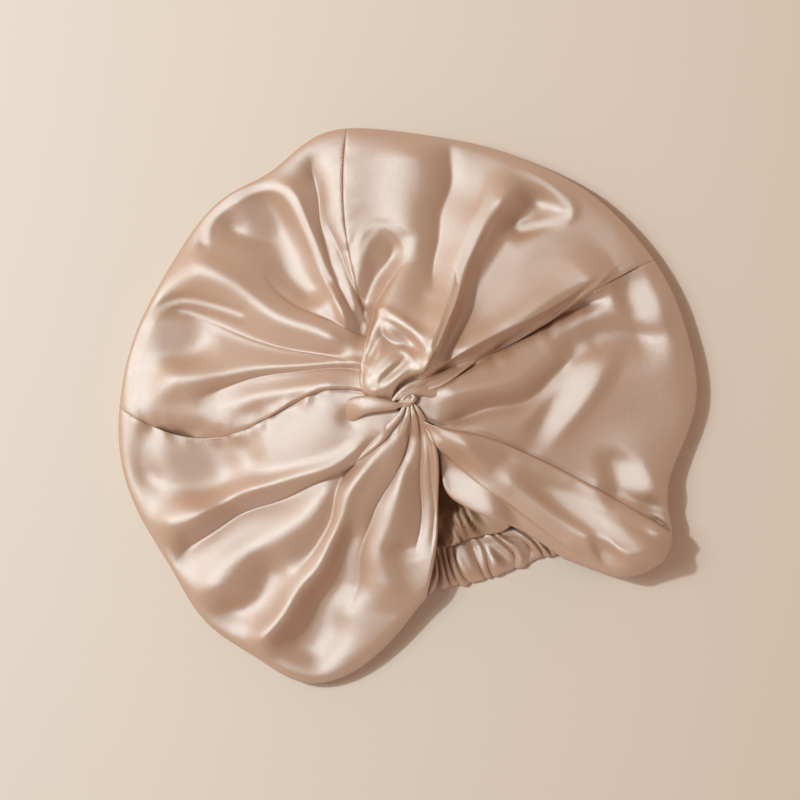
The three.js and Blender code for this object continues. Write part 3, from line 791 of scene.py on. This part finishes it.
def makeBack():
    count = back["grid"]

    def surface(i, j):
        x, y = (crowded(2 * part / count - 1, centre) for part, centre in zip((i, j), back["mouth"]))
        across, along = x * np.sqrt(1 - y * y / 2), y * np.sqrt(1 - x * x / 2)  # a square grid as a disc
        bearing = np.degrees(np.arctan2(along, across)) % 360
        rolled = ease(outlineCurl(bearing), 0.2, 1)
        edge = outlineReach(bearing) - back["seam"] + (back["seam"] - back["rolled"]) * rolled
        reach = np.hypot(across, along) * edge
        start, full, fading, end = back["neck"]
        near = ease(bearing, start, full) * (1 - ease(bearing, fading, end))
        near = near * ease(reach, back["neckFrom"], edge - back["margin"])
        z = back["base"] + near * (back["neckRise"] + back["gather"] * gatherAt(bearing, reach, back))
        hills = softNoise(across * back["span"], along * back["span"], back["hillSize"], seed=21)
        z = z + back["hills"] * (1 + hills) * near
        way = np.radians(bearing)
        return placed(np.cos(way) * reach, np.sin(way) * reach, z)

    piece = clothGrid("backPanel", count, count, surface)
    giveThickness(piece, back["thickness"])
    finishPiece(piece, satinInsideShaded, ["back_panel"])


makeCasing()
makeBack()
print("neck edge and back made")


stitch = dict(length=1.5, thickness=0.42, every=2.3, proud=0.1)
stitchRows = [  # the seam, how far to its side in mm, first and last reach
    dict(seam="top", aside=0.4, first=50, last=158),
    dict(seam="right", aside=-1.2, first=24, last=80),
    dict(seam="right", aside=-0.6, first=128, last=160),
    dict(seam="left", aside=1.2, first=96, last=164),
]


def besideSeam(row, reach):  # a place on the cloth beside a seam
    bearing = 0.0
    for _ in range(2):  # the line needs the outline at its own bearing, which a second try comes close to
        bearing = float(seamLines[row["seam"]](reach / outlineReach(bearing % 360)))
    bearing += math.degrees(row["aside"] / reach)
    dome = domeAt(reach / outlineReach(bearing % 360))
    return Vector(clothAt(np.array([bearing]), np.array([reach]), dome)[0])


def makeStitches():
    bm = bmesh.new()
    for row in stitchRows:
        for reach in np.arange(row["first"], row["last"], stitch["every"]):
            start, end = besideSeam(row, reach), besideSeam(row, reach + stitch["length"])
            run = end - start
            made = bmesh.ops.create_uvsphere(bm, u_segments=6, v_segments=4, radius=0.5)["verts"]
            thickness = stitch["thickness"] * mm
            bmesh.ops.scale(bm, verts=made, vec=(thickness, thickness, run.length))
            bmesh.ops.rotate(bm, verts=made, matrix=run.to_track_quat("Z", "Y").to_matrix())
            middle = (start + end) / 2 + Vector((0, 0, stitch["proud"] * mm))
            bmesh.ops.translate(bm, verts=made, vec=middle)
    piece = pieceFrom("stitches", bm)
    finishPiece(piece, thread)


makeStitches()
print("stitches made")


view = dict(distance=1.7, width=0.48, east=-3, north=1.2)  # metres; then mm from the twist
camera = bpy.data.objects.new("camera", bpy.data.cameras.new("camera"))
camera.data.sensor_fit = "HORIZONTAL"
camera.data.angle = 2 * math.atan(view["width"] / 2 / view["distance"])
camera.location = ((twistX + view["east"]) * mm, (twistY + view["north"]) * mm, view["distance"])
bpy.context.collection.objects.link(camera)
bpy.context.scene.camera = camera


def addSoftbox(name, settings):  # an area light at a bearing and height, aimed at the bonnet
    data = bpy.data.lights.new(name, "AREA")
    data.shape = "DISK"
    data.size = settings["size"]
    data.energy = settings["power"]
    data.color = settings["colour"]
    lamp = bpy.data.objects.new(name, data)
    way, up = math.radians(settings["bearing"]), math.radians(settings["height"])
    flat = math.cos(up) * settings["distance"]
    lamp.location = (math.cos(way) * flat, math.sin(way) * flat, math.sin(up) * settings["distance"])
    lamp.rotation_euler = (-Vector(lamp.location)).to_track_quat("-Z", "Y").to_euler()
    bpy.context.collection.objects.link(lamp)


daylight = dict(distance=2.2, colour=(0.86, 1, 1.03))
addSoftbox("keyLight", dict(daylight, bearing=160, height=52, size=0.1, power=23))
addSoftbox("softLight", dict(daylight, bearing=166, height=50, size=1, power=14))

# the room's light: its strength overhead and round the sides, and how far up it changes from one to the other
room = dict(colour=(1, 0.76, 0.6, 1), overhead=0.3, walls=0.75, wallTop=0.15, overheadFrom=0.75)
roomShader = Shader(bpy.data.worlds.new("studio"))
bpy.context.scene.world = roomShader.owner
skyward = roomShader.add("SeparateXYZ", (), {"Vector": roomShader.add("TexCoord")}, output=2)
overhead = roomShader.add("MapRange", {"interpolation_type": "SMOOTHSTEP"}, {
    "Value": skyward, 1: room["wallTop"], 2: room["overheadFrom"],
})
strength = room["walls"] * (1 - overhead) + room["overhead"] * overhead
background = roomShader.add("Background", (), {"Color": room["colour"], "Strength": strength})
roomShader.add("OutputWorld", (), {"Surface": background})
bpy.context.scene.view_settings.view_transform = "Standard"

# painted light fall-off: the floor's colour turns a little pinker and darker towards +X, away from the key
# light
paper = dict(
    size=3, near=linear(231, 217, 205), far=linear(232, 209, 193), turn=1.4, middle=0.3, roughness=0.9,
)
bm = bmesh.new()
bmesh.ops.create_grid(bm, x_segments=8, y_segments=8, size=paper["size"])
floor = pieceFrom("floor", bm)
paperShader = Shader(bpy.data.materials.new("paper"))
eastward = paperShader.add("SeparateXYZ", (), {"Vector": paperShader.add("TexCoord", output=3)})
# the paper's colour with a painted fall-off of the key light across it
paperColourAndFalloff = paperShader.mixColours(eastward * paper["turn"] + paper["middle"], paper["near"], paper["far"])
surface = paperShader.add("BsdfPrincipled", (), {
    "Base Color": paperColourAndFalloff, "Roughness": paper["roughness"], "Specular IOR Level": 0.1,
})
paperShader.add("OutputMaterial", (), {"Surface": surface})
floor.data.materials.append(paperShader.owner)
print("stage set")
